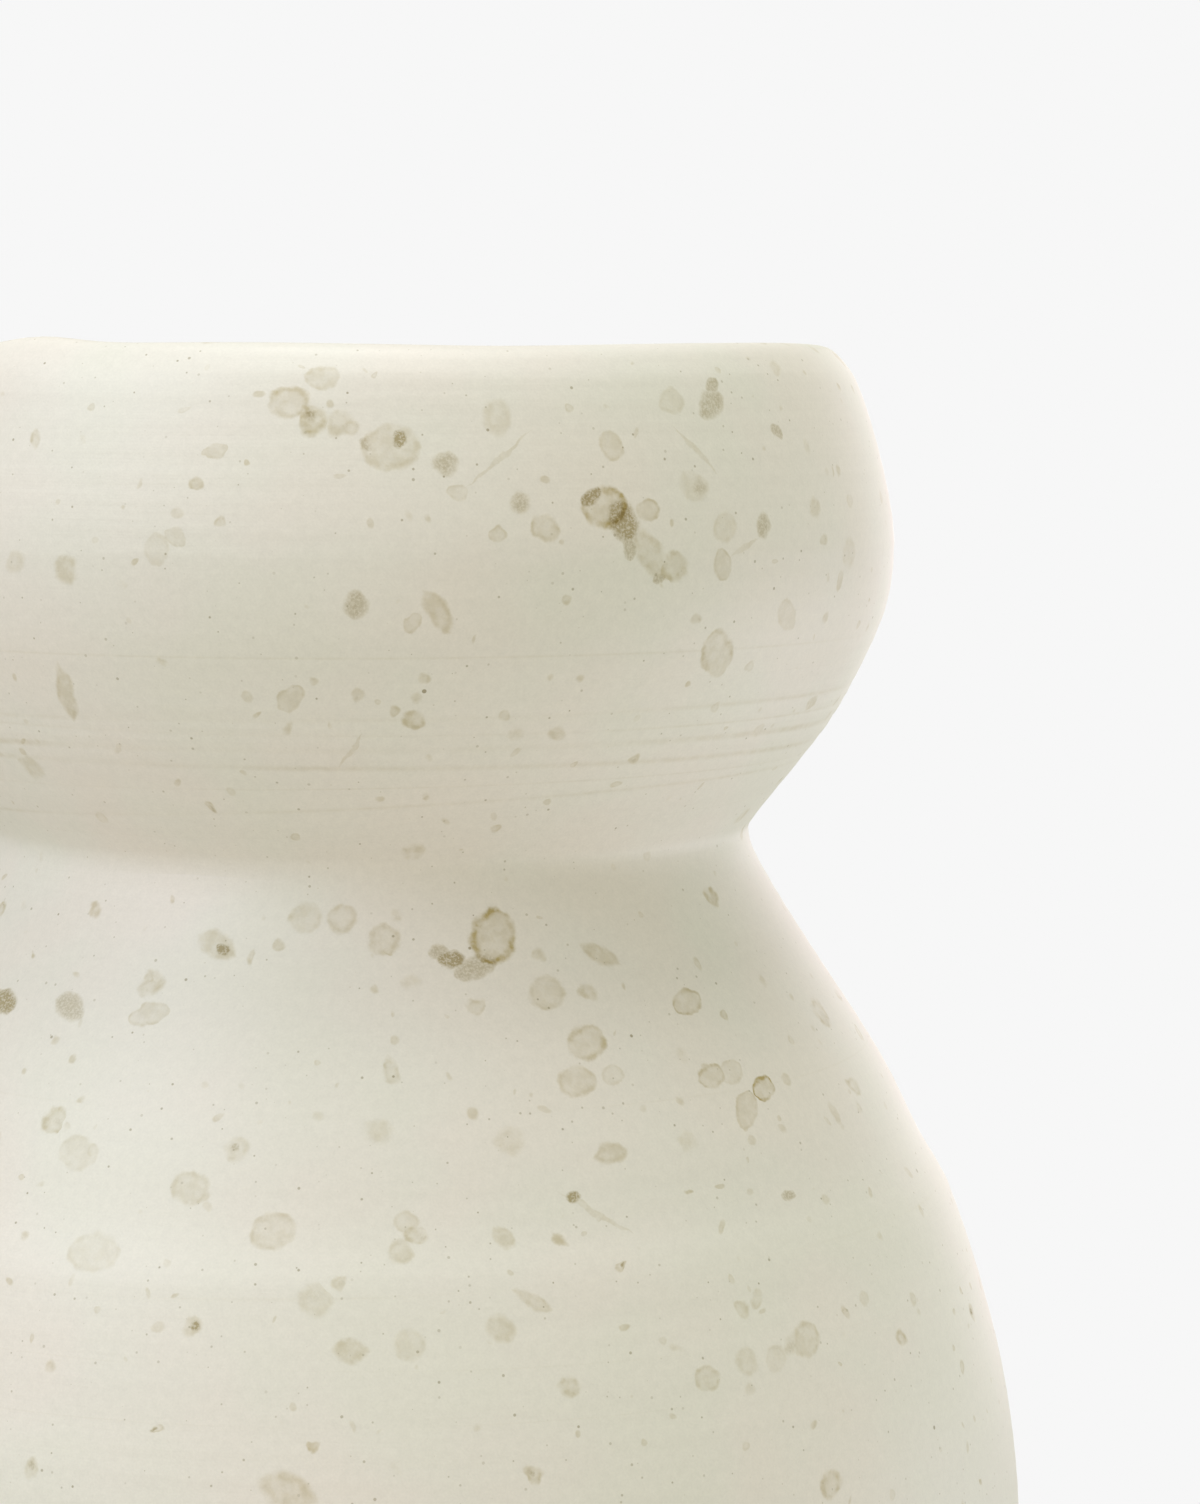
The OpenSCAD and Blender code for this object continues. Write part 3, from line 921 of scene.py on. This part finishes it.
class VASE_OT_belly_section(bpy.types.Operator):
    """Turn the lower clay section, whose bare foot shows the turning tool's lines"""
    bl_idname = "vase.belly_section"
    bl_label = "Belly section and foot"

    def execute(self, context):
        shape = context.scene.vase_shape

        def step_at(height):
            return 0.5 * shape.row_step if height < 12 * MM else 6 * shape.row_step

        def relief(run, height, bearing):
            return foot_relief(run, height, bearing) * (1 - smooth_step(9 * MM, 12 * MM, height))

        clay = turned_piece(
            "thrown_belly_section", "belly_section", lambda part: -min(height for _, height in part),
            step_at, relief)
        dress(clay, clay_material("bare_stoneware", context.scene.vase_colours.clay))
        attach(clay, "root")
        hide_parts("belly_section")
        return {"FINISHED"}


class VASE_OT_inner_clay(bpy.types.Operator):
    """Give the clay sections, coils and slip under the glaze their fired finishes"""
    bl_idname = "vase.inner_clay"
    bl_label = "Clay under the glaze"

    def execute(self, context):
        colours = context.scene.vase_colours
        section = clay_material("section_clay", colours.clay)
        coil = clay_material("coil_clay", [0.9 * c for c in colours.clay])
        slip = clay_material("joining_slip", colours.slip, grog=0.2)
        finishes = {
            "shoulder_section": section, "collar_section": section, "shoulder_coil": coil,
            "neck_coil": coil, "shoulder_slip": slip, "neck_slip": slip}
        for node_name, finish in finishes.items():
            dress(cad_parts[node_name], finish)
        return {"FINISHED"}


class VASE_OT_studio(bpy.types.Operator):
    """Set up the floor, the backdrop, the soft lights and the camera"""
    bl_idname = "vase.studio"
    bl_label = "Studio and camera"

    def execute(self, context):
        studio = context.scene.vase_studio
        context.scene.view_settings.view_transform = "Standard"
        make_floor(studio)
        make_backdrop(context.scene, studio)
        for name, bearing, elevation, power, colour in LIGHTS:
            soft_light(studio, name, math.radians(bearing), math.radians(elevation), power, colour)
        context.scene.camera = make_camera(studio)
        return {"FINISHED"}


def make_floor(studio):
    """A round floor that fades into the backdrop at its edge."""
    bm = bmesh.new()
    bmesh.ops.create_circle(bm, cap_ends=True, segments=96, radius=studio.floor_radius)
    mesh = bpy.data.meshes.new("floor")
    bm.to_mesh(mesh)
    bm.free()
    floor = bpy.data.objects.new("floor", mesh)
    bpy.context.scene.collection.objects.link(floor)
    material, graph, shader = new_material("floor_paper")
    position = graph.node("ShaderNodeTexCoord").outputs["Object"]
    grain = graph.noise(position, 700, detail=2).outputs[0]
    tone = graph.math("MULTIPLY_ADD", grain, 0.02, 0.99)
    graph.put(shader.inputs["Base Color"], graph.vector(
        "MULTIPLY", tuple(studio.floor), graph.joined(tone, tone, tone)))
    shader.inputs["Roughness"].default_value = 0.9
    shader.inputs["Specular IOR Level"].default_value = 0.1
    from_centre = graph.vector("LENGTH", position)
    fade_start = 0.45 * studio.floor_radius
    graph.put(shader.inputs["Alpha"],
              graph.ramp(from_centre, fade_start, studio.floor_radius, 1.0, 0.0))
    dress(floor, material)


def make_backdrop(scene, studio):
    """A plain pale backdrop, with a softer and warmer light from all round."""
    world = bpy.data.worlds.new("studio")
    world.use_nodes = True
    scene.world = world
    graph = Graph(world.node_tree)
    seen = world.node_tree.nodes["Background"]
    seen.inputs["Color"].default_value = tuple(studio.backdrop) + (1,)
    around = graph.node("ShaderNodeBackground")
    around.inputs["Color"].default_value = tuple(studio.ambient) + (1,)
    around.inputs["Strength"].default_value = studio.ambient_strength
    mix = graph.node("ShaderNodeMixShader")
    graph.put(mix.inputs[0], graph.node("ShaderNodeLightPath").outputs["Is Camera Ray"])
    graph.put(mix.inputs[1], around.outputs[0])
    graph.put(mix.inputs[2], seen.outputs[0])
    graph.put(world.node_tree.nodes["World Output"].inputs["Surface"], mix.outputs[0])


# The soft lights: a cool key at the upper left, an overhead light, a low warm bounce in front and
# three at the right and behind. Each is its bearing from the front towards the right and its
# elevation in degrees, its power in watts and its colour.
LIGHTS = (
    ("key_light", -60, 40, 7.5, (0.79, 0.83, 1.0)),
    ("top_light", 0, 90, 8.0, (1.0, 1.0, 1.0)),
    ("front_bounce", 0, -18, 1.8, (1.0, 0.77, 0.66)),
    ("right_bounce", 80, -18, 2.0, (0.78, 0.95, 1.0)),
    ("rear_bounce", 110, -18, 2.8, (0.86, 0.79, 1.0)),
    ("back_light", 150, 5, 3.5, (1.0, 0.87, 0.97)),
)


def soft_light(studio, name, bearing, elevation, power, colour):
    """A round soft light that faces the middle of the vase and that the camera can't see."""
    lamp = bpy.data.lights.new(name, "AREA")
    lamp.shape = "DISK"
    lamp.size = studio.light_size
    lamp.energy = power
    lamp.color = colour
    light = bpy.data.objects.new(name, lamp)
    middle = Vector((0, 0, 0.715 * LIP_HEIGHT))
    direction = Euler((-elevation, 0, bearing)).to_matrix() @ Vector((0, -1, 0))
    light.location = middle + direction * studio.light_distance
    light.rotation_euler = direction.to_track_quat("Z", "Y").to_euler()
    light.visible_camera = False
    bpy.context.scene.collection.objects.link(light)


def make_camera(studio):
    """A camera level with the lip, turned a little right of the axis and looking down."""
    lens = bpy.data.cameras.new("camera")
    lens.lens = studio.lens
    lens.sensor_width = 36
    camera = bpy.data.objects.new("camera", lens)
    camera.location = (0, -studio.camera_distance, LIP_HEIGHT)
    camera.rotation_euler = (math.pi / 2 - studio.camera_tilt, 0, -studio.camera_pan)
    bpy.context.scene.collection.objects.link(camera)
    return camera


class VASE_PT_panel(bpy.types.Panel):
    """Lists the steps that build the vase and its studio"""
    bl_idname = "VASE_PT_panel"
    bl_label = "Stoneware vase"
    bl_space_type = "VIEW_3D"
    bl_region_type = "UI"
    bl_category = "Vase"

    def draw(self, context):
        for settings in ("vase_shape", "vase_colours", "vase_studio"):
            group = getattr(context.scene, settings)
            column = self.layout.column(align=True)
            for name in group.__annotations__:
                column.prop(group, name)
        for step in STEPS:
            self.layout.operator(step.bl_idname)


STEPS = (
    VASE_OT_outer_glaze,
    VASE_OT_liner_glaze,
    VASE_OT_belly_section,
    VASE_OT_inner_clay,
    VASE_OT_studio,
)
CLASSES = (VaseShape, VaseColours, VaseStudio) + STEPS + (VASE_PT_panel,)


def register():
    for cls in CLASSES:
        bpy.utils.register_class(cls)
    bpy.types.Scene.vase_shape = PointerProperty(type=VaseShape)
    bpy.types.Scene.vase_colours = PointerProperty(type=VaseColours)
    bpy.types.Scene.vase_studio = PointerProperty(type=VaseStudio)


def unregister():
    del bpy.types.Scene.vase_shape
    del bpy.types.Scene.vase_colours
    del bpy.types.Scene.vase_studio
    for cls in reversed(CLASSES):
        bpy.utils.unregister_class(cls)


def main():
    register()
    bpy.ops.vase.outer_glaze()
    bpy.ops.vase.liner_glaze()
    bpy.ops.vase.belly_section()
    bpy.ops.vase.inner_clay()
    bpy.ops.vase.studio()


if __name__ == "__main__":
    main()
